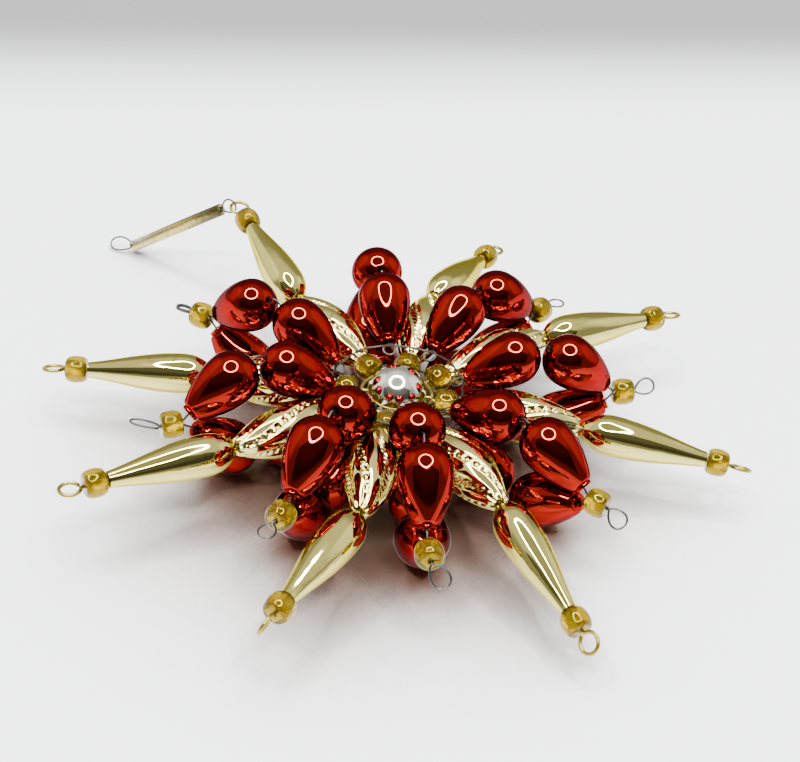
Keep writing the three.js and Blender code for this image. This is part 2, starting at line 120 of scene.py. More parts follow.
# The dark front opening, in shares of the distance ahead: half its width, what each step up adds
# to that, the heights where it starts and ends, and at last the share of the wall's glow it lacks
FRONT_WIDE = 1.0
FRONT_FLARE = 0.9
FRONT_LOW = 0.28
FRONT_HIGH = 2.3
FRONT_DARK = 0.84


class Slot(Enum):
    """The record's material slots."""

    GOLD = "gold_glass"
    RED = "red_glass"
    SILVER = "silver_glass"
    AMBER = "amber_glass"
    BRASS = "brass"
    STEEL = "steel"


class Facing(Enum):
    """Which end of a bead is its start."""

    OUTWARD = "outward"
    INWARD = "inward"


# Shapes from bmesh operators


@dataclass(frozen=True)
class Axis:
    """A bead's line: where it starts, the way it runs and how long the bead is, in metres."""

    start: Vector
    direction: Vector
    length: float

    @property
    def end(self) -> Vector:
        """The far end of the bead."""
        return self.at(self.length)

    def at(self, distance: float) -> Vector:
        """The point at a distance from the start."""
        return self.start + self.direction * distance

    def shifted(self, distance: float, length: float) -> "Axis":
        """Another bead on the same line.

        Args:
            distance: Where the other bead starts, from this one's start.
            length: The other bead's length.

        Returns:
            The other bead's axis.
        """
        return Axis(self.at(distance), self.direction, length)

    def placement(self) -> Matrix:
        """The matrix that puts a bead built along +Z from the origin on this line."""
        across = UP.cross(self.direction)
        if across.length < 1e-6:
            across = Vector((1.0, 0.0, 0.0))
        across.normalize()
        top = self.direction.cross(across)
        basis = Matrix((across, top, self.direction)).transposed().to_4x4()
        return Matrix.Translation(self.start) @ basis


def polar(bearing: float, rise: float = 0.0) -> Vector:
    """A direction.

    Args:
        bearing: Degrees counter-clockwise from +X, seen from above.
        rise: Degrees above the level.

    Returns:
        The unit vector.
    """
    turn, tilt = math.radians(bearing), math.radians(rise)
    flat = math.cos(tilt)
    return Vector((flat * math.cos(turn), flat * math.sin(turn), math.sin(tilt)))


def bead_axis(node: str, star: Vector, facing: Facing) -> Axis:
    """Reads a bead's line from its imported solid, which is a turned body.

    Args:
        node: The CAD node's name.
        star: The middle of the star.
        facing: Whether the bead starts at its end next to the star's middle or at the other.

    Returns:
        The bead's axis.
    """
    shell = bmesh.new()
    shell.from_mesh(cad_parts[node].data)
    bmesh.ops.remove_doubles(shell, verts=shell.verts, dist=0.02 * MM)
    corners = [corner.co.copy() for corner in shell.verts]
    shell.free()
    middle = sum(corners, Vector()) / len(corners)
    arms = [corner - middle for corner in corners]
    spread = Matrix([[sum(arm[i] * arm[j] for arm in arms) for j in range(3)] for i in range(3)])
    for _ in range(7):
        spread = spread @ spread
        spread = spread * (1.0 / sum(spread[i][i] for i in range(3)))
    direction = (spread @ (middle - star + 0.001 * UP)).normalized()
    if direction.length < 0.5:
        direction = (spread @ Vector((1.0, 0.1, 0.0))).normalized()
    if direction.dot(middle - star) < 0.0:
        direction.negate()
    if facing is Facing.INWARD:
        direction.negate()
    places = [arm.dot(direction) for arm in arms]
    return Axis(middle + direction * min(places), direction, max(places) - min(places))


def turned(bm: Mesh, profile: Sequence[tuple[float, float]], sides: int,
           material: int = 0) -> None:
    """Spins a closed profile round +Z into a body.

    Args:
        bm: The mesh that receives the body.
        profile: Radius and place pairs, in order round the section.
        sides: Steps round the axis.
        material: The material index of its faces.
    """
    old = set(bm.verts)
    points = [bm.verts.new((radius, 0.0, place)) for radius, place in profile]
    edges = [bm.edges.new(pair) for pair in zip(points, points[1:] + points[:1])]
    bmesh.ops.spin(bm, geom=points + edges, cent=(0.0, 0.0, 0.0), axis=(0.0, 0.0, 1.0),
                   angle=2.0 * math.pi, steps=sides, use_merge=True, use_normal_flip=False,
                   use_duplicate=False)
    fresh = [corner for corner in bm.verts if corner not in old]
    bmesh.ops.remove_doubles(bm, verts=fresh, dist=0.001 * MM)
    faces = {face for corner in bm.verts if corner not in old for face in corner.link_faces}
    bmesh.ops.recalc_face_normals(bm, faces=list(faces))
    for face in faces:
        face.material_index = material


def rounded(corners: Sequence[Vector], radius: float, steps: int = 6) -> list[Vector]:
    """Rounds the corners of a wire's path.

    Args:
        corners: The path's corners.
        radius: How far from a corner its bend starts.
        steps: Points in each bend.

    Returns:
        The path with its bends.
    """
    path = [corners[0]]
    for before, here, after in zip(corners, corners[1:], corners[2:]):
        reach = min(radius, (here - before).length * 0.45, (after - here).length * 0.45)
        first = here + (before - here).normalized() * reach
        last = here + (after - here).normalized() * reach
        for step in range(steps + 1):
            share = step / steps
            path.append(first.lerp(here, share).lerp(here.lerp(last, share), share))
    path.append(corners[-1])
    return path


def swept(path: Sequence[Vector], width: float, sides: int, closed: bool = False) -> Mesh:
    """Draws a round wire along a path by extruding a ring of edges from point to point.

    Args:
        path: The wire's middle line.
        width: The wire's thickness.
        sides: Sides of its section.
        closed: Whether its end joins its start.

    Returns:
        The wire's mesh.
    """
    bm = bmesh.new()
    points = [point for index, point in enumerate(path)
              if index == 0 or (point - path[index - 1]).length > 0.01 * MM]
    last = len(points) - 1
    ways = []
    for index in range(len(points)):
        before = points[index - 1] if index > 0 or closed else points[0]
        after = points[index + 1] if index < last else (points[0] if closed else points[last])
        ways.append((after - before).normalized())
    turn = UP.rotation_difference(ways[0]).to_matrix().to_4x4()
    here = Matrix.Translation(points[0]) @ turn
    ring = bmesh.ops.create_circle(bm, cap_ends=False, radius=width / 2.0, segments=sides,
                                   matrix=here)["verts"]
    first = list(ring)
    edges = list(dict.fromkeys(edge for corner in ring for edge in corner.link_edges))
    stations = list(zip(points[1:], ways[1:], ways))
    if closed:
        stations.append((points[0], ways[0], ways[-1]))
    for point, way, last_way in stations:
        turn = last_way.rotation_difference(way).to_matrix().to_4x4() @ turn
        there = Matrix.Translation(point) @ turn
        grown = bmesh.ops.extrude_edge_only(bm, edges=edges)["geom"]
        ring = [item for item in grown if isinstance(item, bmesh.types.BMVert)]
        edges = [item for item in grown if isinstance(item, bmesh.types.BMEdge)
                 and all(corner in ring for corner in item.verts)]
        bmesh.ops.transform(bm, matrix=there @ here.inverted(), verts=ring)
        here = there
    if closed:
        ends = [edge for edge in bm.edges if edge.is_boundary]
        bmesh.ops.bridge_loops(bm, edges=ends)
    else:
        for loop in (first, ring):
            bmesh.ops.contextual_create(bm, geom=list(loop))
    bmesh.ops.recalc_face_normals(bm, faces=list(bm.faces))
    return bm


def teardrop(start: Vector, ahead: Vector, side: Vector, length: float, width: float,
             turns: float = 1.0, pitch: float = 0.0, steps: int = 28) -> list[Vector]:
    """The middle line of a wire loop that begins and ends near one point.

    Args:
        start: The point next to the bead.
        ahead: The way the loop points.
        side: The way it opens.
        length: Its length from the start.
        width: Its width.
        turns: How many times the wire goes round.
        pitch: How far the wire moves out of the loop's plane in each turn.
        steps: Points in each turn.

    Returns:
        The loop's points.
    """
    out = ahead.cross(side)
    points = []
    count = int(steps * turns)
    for step in range(count + 1):
        angle = 2.0 * math.pi * turns * step / count
        swell = abs(math.sin(angle / 2.0)) ** 0.6
        points.append(start + ahead * (length * (1.0 - math.cos(angle)) / 2.0)
                      + side * (width / 2.0 * math.sin(angle) * swell)
                      + out * (pitch * (step / count - 0.5)))
    return points


def sideways(ahead: Vector, turn: float) -> Vector:
    """A level direction across a wire, turned round it by some degrees."""
    level = UP.cross(ahead).normalized()
    return Matrix.Rotation(math.radians(turn), 3, ahead) @ level


# Finishes


class Sheet:
    """A material's node tree, with short ways to add and join nodes."""

    def __init__(self, name: str) -> None:
        """Starts a material with its output, a shader and Object coordinates.

        Args:
            name: The material's name.
        """
        self.material = bpy.data.materials.new(name)
        self.material.use_nodes = True
        self.tree = self.material.node_tree
        self.tree.nodes.clear()
        output = self.tree.nodes.new("ShaderNodeOutputMaterial")
        self.shader = self.tree.nodes.new("ShaderNodeBsdfPrincipled")
        self.join(self.shader.outputs["BSDF"], output.inputs["Surface"])
        self.place = self.tree.nodes.new("ShaderNodeTexCoord").outputs["Object"]

    def join(self, source: Socket, target: Socket) -> None:
        """Links one socket to another."""
        self.tree.links.new(source, target)

    def fix(self, **values: float | tuple[float, ...]) -> None:
        """Sets constant sockets of the shader, named with underscores for spaces."""
        for key, value in values.items():
            name = key if key.isupper() else key.replace("_", " ").title()
            self.shader.inputs[name].default_value = value

    def noise(self, scale: float, detail: float = 3.0) -> Socket:
        """A noise pattern on the object.

        Args:
            scale: Its scale, per metre.
            detail: Its octaves.

        Returns:
            The factor socket.
        """
        node = self.tree.nodes.new("ShaderNodeTexNoise")
        node.inputs["Scale"].default_value = scale
        node.inputs["Detail"].default_value = detail
        self.join(self.place, node.inputs["Vector"])
        return node.outputs["Fac"]

    def range(self, source: Socket, low: float, high: float, start: float = 0.3,
              stop: float = 0.7) -> Socket:
        """Maps a factor to a range of values.

        Args:
            source: The factor.
            low: The value at start.
            high: The value at stop.
            start: The factor that gives low.
            stop: The factor that gives high.

        Returns:
            The mapped socket.
        """
        node = self.tree.nodes.new("ShaderNodeMapRange")
        for key, value in (("From Min", start), ("From Max", stop), ("To Min", low),
                           ("To Max", high)):
            node.inputs[key].default_value = value
        self.join(source, node.inputs["Value"])
        return node.outputs["Result"]

    def blend(self, source: Socket, first: Triple, second: Triple, start: float = 0.3,
              stop: float = 0.7) -> Socket:
        """Runs from one colour to another along a factor.

        Args:
            source: The factor.
            first: The colour at start.
            second: The colour at stop.
            start: The factor that gives the first colour.
            stop: The factor that gives the second colour.

        Returns:
            The colour socket.
        """
        ramp = self.tree.nodes.new("ShaderNodeValToRGB")
        ends = ramp.color_ramp.elements
        ends[0].position, ends[0].color = start, (*first, 1.0)
        ends[1].position, ends[1].color = stop, (*second, 1.0)
        self.join(source, ramp.inputs["Fac"])
        return ramp.outputs["Color"]

    def emboss(self, height: Socket, strength: float, depth: float) -> None:
        """Bumps the shader's surface.

        Args:
            height: The height pattern.
            strength: The bump's strength.
            depth: The height that a factor of one stands for, in metres.
        """
        bump = self.tree.nodes.new("ShaderNodeBump")
        bump.inputs["Strength"].default_value = strength
        bump.inputs["Distance"].default_value = depth
        self.join(height, bump.inputs["Height"])
        self.join(bump.outputs["Normal"], self.shader.inputs["Normal"])


@dataclass(frozen=True)
class SilveredGlass:
    """Thin blown glass with a mirror coat inside, clear or lacquered."""

    name: str
    colour: Triple
    worn: Triple
    roughness: float = 0.05
    ripple: float = 0.06
    coat: float = 0.2

    def build(self) -> bpy.types.Material:
        """Makes the material: slight ripples of blown glass, small worn spots, a clear coat."""
        sheet = Sheet(self.name)
        spots = sheet.noise(900.0, 4.0)
        sheet.join(sheet.blend(spots, self.colour, self.worn, 0.62, 0.78),
                   sheet.shader.inputs["Base Color"])
        haze = sheet.noise(260.0, 2.0)
        sheet.join(sheet.range(haze, self.roughness * 0.6, self.roughness * 1.6),
                   sheet.shader.inputs["Roughness"])
        sheet.emboss(sheet.noise(190.0, 1.5), self.ripple, 1.2 * MM)
        sheet.fix(metallic=1.0, coat_weight=self.coat, coat_roughness=0.02,
                  specular_tint=(*self.colour, 1.0))
        return sheet.material


@dataclass(frozen=True)
class AmberGlass:
    """Clear amber glass of the seed beads."""

    name: str = "amber_glass_clear"
    colour: Triple = (0.2, 0.14, 0.001)
    paler: Triple = (0.34, 0.255, 0.002)
    clearness: float = 0.93
    shine: Triple = (1.0, 0.78, 0.12)

    def build(self) -> bpy.types.Material:
        """Makes the material, with slightly uneven colour and surface."""
        sheet = Sheet(self.name)
        sheet.join(sheet.blend(sheet.noise(420.0), self.colour, self.paler),
                   sheet.shader.inputs["Base Color"])
        sheet.emboss(sheet.noise(600.0), 0.05, 0.6 * MM)
        sheet.fix(transmission_weight=self.clearness, roughness=0.03, IOR=1.5,
                  specular_tint=(*self.shine, 1.0))
        return sheet.material


@dataclass(frozen=True)
class Foil:
    """The bright metal lining inside a bead."""

    name: str
    colour: Triple
    # The colour of the painted shade in the foil's dents
    shade: Triple

    def build(self) -> bpy.types.Material:
        """Makes the material, lightly crumpled, with painted shade darkening the crumple's dents.
        """
        sheet = Sheet(self.name)
        crumple_and_shade = sheet.noise(1500.0, 4.0)
        # Painted shade: the dents that the bump sinks get the darker shade colour
        sheet.join(sheet.blend(crumple_and_shade, self.shade, self.colour), sheet.shader.inputs["Base Color"])
        sheet.emboss(crumple_and_shade, 0.25, 0.3 * MM)
        sheet.fix(metallic=1.0, roughness=0.22)
        return sheet.material


@dataclass(frozen=True)
class DrawnWire:
    """Drawn metal wire, slightly dull and marked by the pliers."""

    name: str
    colour: Triple
    dull: Triple
    roughness: float

    def build(self) -> bpy.types.Material:
        """Makes the material, with dull patches and fine marks."""
        sheet = Sheet(self.name)
        patches = sheet.noise(700.0)
        sheet.join(sheet.blend(patches, self.dull, self.colour), sheet.shader.inputs["Base Color"])
        sheet.join(sheet.range(patches, self.roughness * 1.5, self.roughness * 0.7),
                   sheet.shader.inputs["Roughness"])
        sheet.emboss(sheet.noise(4000.0), 0.15, 0.05 * MM)
        sheet.fix(metallic=1.0)
        return sheet.material


@dataclass(frozen=True)
class PaintedShadeBore:
    """Painted shade for the unlit inside of a bead's hole."""

    name: str = "bead_bore_painted_shade"

    def build(self) -> bpy.types.Material:
        """Makes the material, a nearly black painted shade with uneven mottling."""
        sheet = Sheet(self.name)
        # Uneven mottling within the painted shade, between two near-blacks
        shade_mottle = sheet.noise(1200.0)
        sheet.join(sheet.blend(shade_mottle, (0.012, 0.004, 0.003), (0.05, 0.012, 0.008)),
                   sheet.shader.inputs["Base Color"])
        sheet.fix(roughness=0.6)
        return sheet.material


class Palette:
    """All the object's materials, each made once."""

    def __init__(self) -> None:
        """Builds the materials."""
        self.red = SilveredGlass("red_lacquered_glass", (0.23, 0.0066, 0.0007),
                                 (0.14, 0.0036, 0.0004), coat=0.1).build()
        self.gold = SilveredGlass("gold_silvered_glass", (0.58, 0.5, 0.14),
                                  (0.42, 0.33, 0.07), ripple=0.1).build()
        self.patterned = SilveredGlass("gold_patterned_glass", (0.68, 0.6, 0.2),
                                       (0.45, 0.35, 0.08), ripple=0.03).build()
        self.silver = SilveredGlass("silver_ball_glass", (0.74, 0.71, 0.58),
                                    (0.52, 0.49, 0.38), roughness=0.09, ripple=0.12).build()
        self.amber = AmberGlass().build()
        self.clear = AmberGlass("bugle_clear_glass", (0.9, 0.84, 0.5),
                                (0.94, 0.88, 0.58), 1.0, (1.0, 0.96, 0.8)).build()
        self.lining = Foil("gold_bead_lining", (1.0, 0.86, 0.16), (0.8, 0.62, 0.08)).build()
        self.foil = Foil("bugle_gold_foil", (0.6, 0.52, 0.2), (0.36, 0.29, 0.09)).build()
        self.brass = DrawnWire("brass_wire", (0.42, 0.33, 0.06), (0.22, 0.17, 0.03), 0.28).build()
        self.steel = DrawnWire("steel_wire", (0.1, 0.096, 0.09), (0.035, 0.034, 0.033), 0.3).build()
        # The nearly black painted shade for the inside of the beads' holes
        self.bore = PaintedShadeBore().build()


# The pieces of the ornament


class Workshop:
    """Turns finished meshes into pieces of the model."""

    def __init__(self, palette: Palette) -> None:
        """Keeps the palette at hand."""
        self.palette = palette
        self.count = 0

    def piece(self, name: str, bm: Mesh, materials: Sequence[bpy.types.Material], slot: Slot,
              nodes: Sequence[str]) -> None:
        """Makes an object that rides on the root and stands for one or more nodes.

        Args:
            name: The piece's name.
            bm: Its mesh, already in place.
            materials: Its materials, in the order of the face indices.
            slot: The record's slot for its finish; not used.
            nodes: The CAD nodes that it stands for.
        """
        for face in bm.faces:
            face.smooth = True
        mesh = bpy.data.meshes.new(name)
        bm.to_mesh(mesh)
        bm.free()
        for material in materials:
            mesh.materials.append(material)
        mesh.set_sharp_from_angle(angle=math.radians(SHARP_EDGE))
        thing = bpy.data.objects.new(name, mesh)
        bpy.context.scene.collection.objects.link(thing)
        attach(thing, ROOT)
        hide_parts(*nodes)
        self.count += 1
        LOG.info("%s: %d faces", name, len(mesh.polygons))

    def bead(self, name: str, bm: Mesh, axis: Axis, bore: float, glass: bpy.types.Material,
             slot: Slot) -> None:
        """Puts a blown bead in the place of the CAD node of the same name, its hole darkened by a
        painted shade material.

        Args:
            name: The CAD node's name.
            bm: The bead's mesh, along +Z from the origin.
            axis: The bead's line.
            bore: The radius of its hole.
            glass: Its glass.
            slot: The record's slot for its finish, handed on to the piece, which does not use it.
        """
        # The faces of the hole take the second material, the nearly black painted shade
        for face in bm.faces:
            middle = face.calc_center_median()
            if math.hypot(middle.x, middle.y) < bore * 1.02:
                face.material_index = 1
        bmesh.ops.transform(bm, matrix=axis.placement(), verts=bm.verts)
        self.piece(f"{name}_glass", bm, [glass, self.palette.bore], slot, [name])


@dataclass
class RedDrop:
    """A red pear-shaped bead, from its narrow neck at the origin to its round head."""

    width: float = 10.1 * MM
    length: float = 15.0 * MM
    neck: float = 3.3 * MM
    bore: float = BORE
    swell: float = 0.85
    sides: int = 56
    rim: float = 0.16 * MM

    @property
    def head(self) -> float:
        """Where the round head has its middle."""
        return self.length - math.sqrt((self.width / 2.0) ** 2 - self.bore ** 2)

    def radius(self, place: float) -> float:
        """The bead's radius at a place along it."""
        if place < self.head:
            rise = math.sin(math.pi / 2.0 * place / self.head) ** self.swell
            return (self.neck + (self.width - self.neck) * rise) / 2.0
        return math.sqrt(max((self.width / 2.0) ** 2 - (place - self.head) ** 2, 0.0))

    def outline(self) -> list[tuple[float, float]]:
        """The outer wall's profile: a rolled lip at the neck, the pear, and the hole's edge.

        Returns:
            Radius and place pairs.
        """
        lip = [(self.bore + 0.2 * MM, 0.0), (self.neck / 2.0 - 0.08 * MM, 0.02 * MM),
               (self.neck / 2.0 + 0.06 * MM, 0.25 * MM), (self.neck / 2.0 - 0.02 * MM, 0.6 * MM)]
        pear = [self.head * (0.08 + 0.92 * step / 26) for step in range(27)]
        wall = [(self.radius(place), place) for place in pear]
        mouth = self.bore + self.rim
        last = math.acos(mouth / (self.width / 2.0))
        for step in range(1, 19):
            angle = last * step / 18
            wall.append((self.width / 2.0 * math.cos(angle),
                         self.head + self.width / 2.0 * math.sin(angle)))
        edge = wall[-1][1]
        roll = [(self.bore + self.rim * 0.45, edge - 0.02 * MM), (self.bore, edge - 0.18 * MM)]
        return lip + wall + roll

    def build(self, shop: Workshop, name: str, axis: Axis) -> None:
        """Makes the bead on its axis.

        Args:
            shop: The workshop.
            name: The CAD node's name, which the piece stands for.
            axis: The bead's line, from its neck.
        """
        bm = bmesh.new()
        profile = self.outline() + [(self.bore, self.length * 0.5), (self.bore, 0.3 * MM)]
        turned(bm, profile, self.sides)
        shop.bead(name, bm, axis, self.bore, shop.palette.red, Slot.RED)


@dataclass
class GoldDrop:
    """A plain gold drop, from its wide end at the origin to its tip."""

    width: float = 7.6 * MM
    length: float = 23.7 * MM
    wide_neck: float = 2.8 * MM
    tip_neck: float = 3.0 * MM
    bore: float = BORE
    belly: float = 0.26
    wide_turn: float = 2.6
    tip_turn: float = 1.3
    collar: float = 1.1 * MM
    ruffle: float = 0.1
    ruffle_waves: tuple[float, float] = (9.0, 4.0)
    lip: float = 0.25 * MM
    sides: int = 60
    rings: int = 56

    def radius(self, share: float) -> float:
        """The bead's radius at a share of its length.

        Args:
            share: The share, from the wide end.

        Returns:
            The radius, in metres.
        """
        if share < self.belly:
            fall = ((self.belly - share) / self.belly) ** self.wide_turn
            return (self.width - (self.width - self.wide_neck) * fall) / 2.0
        reach = (share - self.belly) / (1.0 - self.belly)
        fall = 1.0 - max(math.cos(math.pi / 2.0 * reach), 0.0) ** self.tip_turn
        return (self.width - (self.width - self.tip_neck) * fall) / 2.0

    def build(self, shop: Workshop, name: str, axis: Axis) -> None:
        """Makes the bead on its axis, with a ruffled collar where it was broken off.

        Args:
            shop: The workshop.
            name: The CAD node's name, which the piece stands for.
            axis: The bead's line, from its wide end.
        """
        bm = bmesh.new()
        shares = [step / self.rings for step in range(self.rings + 1)]
        shares = sorted(set(shares) | {0.006, 0.012, 0.024, 0.988, 0.994})
        wall = [(self.radius(share), share * self.length) for share in shares]
        wall[0] = (wall[0][0] - self.lip, 0.0)
        wall[-1] = (wall[-1][0] - self.lip, self.length)
        turned(bm, wall + [(self.bore, self.length), (self.bore, 0.0)], self.sides)
        for corner in bm.verts:
            reach = math.hypot(corner.co.x, corner.co.y)
            if reach > self.bore * 1.1:
                angle = math.atan2(corner.co.y, corner.co.x)
                near = math.exp(-corner.co.z / self.collar)
                fine, coarse = self.ruffle_waves
                wave = math.sin(fine * angle) + 0.6 * math.sin(coarse * angle + 1.0)
                shrink = 1.0 - self.ruffle * near * (0.5 + 0.5 * wave)
                corner.co.x, corner.co.y = corner.co.x * shrink, corner.co.y * shrink
        shop.bead(name, bm, axis, self.bore, shop.palette.gold, Slot.GOLD)


@dataclass
class PatternedOval:
    """A gold oval blown in a mould, with flutes that swirl, rows of knobs and rope ridges."""

    width: float = 9.6 * MM
    length: float = 22.9 * MM
    neck: float = 3.3 * MM
    bore: float = BORE
    swell: float = 0.9
    repeats: int = 3
    flute: float = 0.62 * MM
    swirl: float = 115.0
    knob_row: float = 0.85 * MM
    knob_width: float = 0.68 * MM
    knob_rise: float = 0.62 * MM
    knob_pitch: float = 1.75 * MM
    rope_row: float = 1.55 * MM
    rope_width: float = 0.95 * MM
    rope_rise: float = 0.5 * MM
    rope_pitch: float = 1.15 * MM
    rope_slant: float = 2.4 * MM
    channel: float = 1.3
    rim_dip: float = 0.16 * MM
    rim_reach: float = 0.9 * MM
    rim_waves: float = 11.0
    sides: int = 168
    rings: int = 128

    def radius(self, share: float) -> float:
        """The plain radius at a share of the length."""
        rise = math.sin(math.pi * min(max(share, 0.0), 1.0)) ** self.swell
        return (self.neck + (self.width - self.neck) * rise) / 2.0

    def relief(self, angle: float, share: float, turn: float) -> float:
        """How far the pattern stands from the plain surface.

        Each repeat has a row of knobs, a smooth lobe, a channel with a rope in it and a second
        lobe, which all swirl to the left.

        Args:
            angle: Radians round the bead.
            share: The share of its length.
            turn: Where a row of knobs runs at the middle of the bead, in radians.

        Returns:
            The height, in metres.
        """
        bend = math.radians(self.swirl) * (share - 0.5)
        phase = (angle - turn + bend) * self.repeats / (2.0 * math.pi)
        along = share * self.length
        scale = 2.0 * math.pi * self.radius(share) / self.repeats
        girth = self.radius(share) / (self.width / 2.0)
        from_knobs = (phase - math.floor(phase + 0.5)) * scale
        from_rope = (phase - math.floor(phase) - 0.5) * scale
        knob_side = abs(from_knobs) / (self.knob_row * girth)
        rope_side = abs(from_rope) / (self.rope_row * girth)
        height = 0.0
        for side in (knob_side, rope_side):
            if side < self.channel:
                fall = 0.5 + 0.5 * math.cos(math.pi * side / self.channel)
                height = min(height, -self.flute * fall)
        step = ((along / self.knob_pitch) % 1.0 - 0.5) * self.knob_pitch
        dome = 1.0 - (from_knobs ** 2 + step ** 2) / (self.knob_width * girth) ** 2
        if dome > 0.0:
            height += self.knob_rise * math.sqrt(dome)
        ridge = 1.0 - (from_rope / (self.rope_width * girth)) ** 2
        if ridge > 0.0:
            lay = 2.0 * math.pi * (along / self.rope_pitch + from_rope / self.rope_slant)
            height += self.rope_rise * ridge * (0.62 + 0.38 * math.sin(lay))
        return height * max(math.sin(math.pi * share), 0.0) ** 0.7

    def build(self, shop: Workshop, name: str, axis: Axis, turn: float) -> None:
        """Makes the bead on its axis.

        Args:
            shop: The workshop.
            name: The CAD node's name, which the piece stands for.
            axis: The bead's line, from its inner end.
            turn: Where a row of knobs runs at the middle of the bead, in radians.
        """
        bm = bmesh.new()
        shares = [step / self.rings for step in range(self.rings + 1)]
        wall = [(self.radius(share), share * self.length) for share in shares]
        turned(bm, wall + [(self.bore, self.length), (self.bore, 0.0)], self.sides)
        for corner in bm.verts:
            reach = math.hypot(corner.co.x, corner.co.y)
            if reach > self.bore * 1.1:
                angle = math.atan2(corner.co.y, corner.co.x)
                share = corner.co.z / self.length
                grown = reach + self.relief(angle, share, turn)
                ends = min(corner.co.z, self.length - corner.co.z)
                grown -= (self.rim_dip * math.exp(-ends / self.rim_reach)
                          * (1.0 + math.sin(self.rim_waves * angle)))
                corner.co.x *= grown / reach
                corner.co.y *= grown / reach
        shop.bead(name, bm, axis, self.bore, shop.palette.patterned, Slot.GOLD)


@dataclass
class SeedBead:
    """A short amber glass bead with a square hole lined in bright metal."""

    width: float = 5.2 * MM
    length: float = 3.9 * MM
    flat_end: float = 0.6
    bore: float = 0.5 * MM
    lining: float = 1.3 * MM
    lining_gap: float = 0.12 * MM
    inset: float = 0.25 * MM
    sides: int = 40

    def build(self, shop: Workshop, name: str, axis: Axis, nodes: Sequence[str]) -> None:
        """Makes the bead on its axis.

        Args:
            shop: The workshop.
            name: The piece's name.
            axis: The bead's line.
            nodes: The CAD nodes that it stands for.
        """
        bm = bmesh.new()
        wall = []
        for step in range(17):
            angle = math.pi * (step / 16 - 0.5)
            reach = self.flat_end + (1.0 - self.flat_end) * math.cos(angle) ** 0.7
            wall.append((self.width / 2.0 * reach, self.length * (0.5 + 0.5 * math.sin(angle))))
        turned(bm, wall + [(self.bore, self.length), (self.bore, 0.0)], self.sides)
        inner = self.lining * math.sqrt(2.0)
        low, high = self.inset, self.length - self.inset
        hole = self.bore + self.lining_gap
        tube = [(inner, low), (inner, high), (hole, high), (hole, low)]
        turned(bm, tube, 4, material=1)
        bmesh.ops.transform(bm, matrix=axis.placement(), verts=bm.verts)
        shop.piece(name, bm, [shop.palette.amber, shop.palette.lining], Slot.AMBER, nodes)


@dataclass
class SilverBall:
    """The silvered ball in the middle, with a hole on each side."""

    width: float = 11.3 * MM
    bore: float = BORE
    sides: int = 72
    rings: int = 40

    def build(self, shop: Workshop, axis: Axis) -> None:
        """Makes the ball on its axis.

        Args:
            shop: The workshop.
            axis: The ball's bore, from one side to the other.
        """
        bm = bmesh.new()
        half = self.width / 2.0
        least = math.asin(self.bore / half)
        wall = []
        for step in range(self.rings + 1):
            angle = least + (math.pi - 2.0 * least) * step / self.rings
            wall.append((half * math.sin(angle), axis.length / 2.0 - half * math.cos(angle)))
        turned(bm, wall, self.sides)
        shop.bead("silver_ball", bm, axis, self.bore, shop.palette.silver, Slot.SILVER)


@dataclass
class Ray:
    """One ray: inner seed bead, patterned oval, gold drop, tip seed bead and brass arm."""

    number: int
    eye_turn: float
    knob_turn: float
    star: Vector
    wire: float = BRASS_WIRE
    gap: float = GAP
    eye_width: float = 4.4 * MM
    eye_start: float = 12.0
    eye_sweep: float = 332.0
    hub: float = HUB_RADIUS
    oval: Axis = field(init=False)
    drop: Axis = field(init=False)
    seed: Axis = field(init=False)
    inner_seed: Axis = field(init=False)

    def __post_init__(self) -> None:
        """Reads the beads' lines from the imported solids."""
        self.oval = bead_axis(f"patterned_oval_{self.number}", self.star, Facing.OUTWARD)
        self.drop = bead_axis(f"gold_drop_{self.number}", self.star, Facing.OUTWARD)
        self.seed = bead_axis(f"tip_seed_bead_{self.number}", self.star, Facing.OUTWARD)
        length = SeedBead().length
        self.inner_seed = self.oval.shifted(-self.gap - length, length)

    @property
    def eye_centre(self) -> Vector:
        """The middle of the arm's eye."""
        return self.seed.end + self.drop.direction * (self.gap + self.eye_width / 2.0)

    @property
    def eye_side(self) -> Vector:
        """The way the eye opens."""
        return sideways(self.drop.direction, self.eye_turn)

    def arm(self) -> list[Vector]:
        """The middle line of the arm's wire, from the hub to the end of its eye.

        Returns:
            The points.
        """
        start = self.star + self.oval.direction * self.hub
        bend = self.oval.direction.angle(self.drop.direction)
        reach = (self.drop.start - self.oval.end).length / (2.0 * math.cos(bend / 2.0))
        radius = (self.eye_width - self.wire) / 2.0
        ahead, side = self.drop.direction, self.eye_side
        eye = []
        for step in range(33):
            turn = math.radians(self.eye_start + self.eye_sweep * step / 32)
            eye.append(self.eye_centre - ahead * (radius * math.cos(turn))
                       + side * (radius * math.sin(turn)))
        corners = [start, self.oval.at(self.oval.length + reach), self.seed.end]
        return rounded(corners, 0.8 * MM) + eye

    def build(self, shop: Workshop) -> None:
        """Makes the ray's beads and its wire.

        Args:
            shop: The workshop.
        """
        local = self.oval.placement().to_3x3().transposed() @ TOWARD_VIEWER
        turn = math.atan2(local.y, local.x) + math.radians(self.knob_turn)
        PatternedOval().build(shop, f"patterned_oval_{self.number}", self.oval, turn)
        GoldDrop().build(shop, f"gold_drop_{self.number}", self.drop)
        seed = SeedBead()
        seed.build(shop, f"tip_seed_bead_{self.number}_glass", self.seed,
                   [f"tip_seed_bead_{self.number}"])
        seed.build(shop, f"inner_seed_bead_{self.number}", self.inner_seed, ["star_wire"])
        shop.piece(f"star_arm_{self.number}", swept(self.arm(), self.wire, 14),
                   [shop.palette.brass], Slot.BRASS, ["star_wire"])


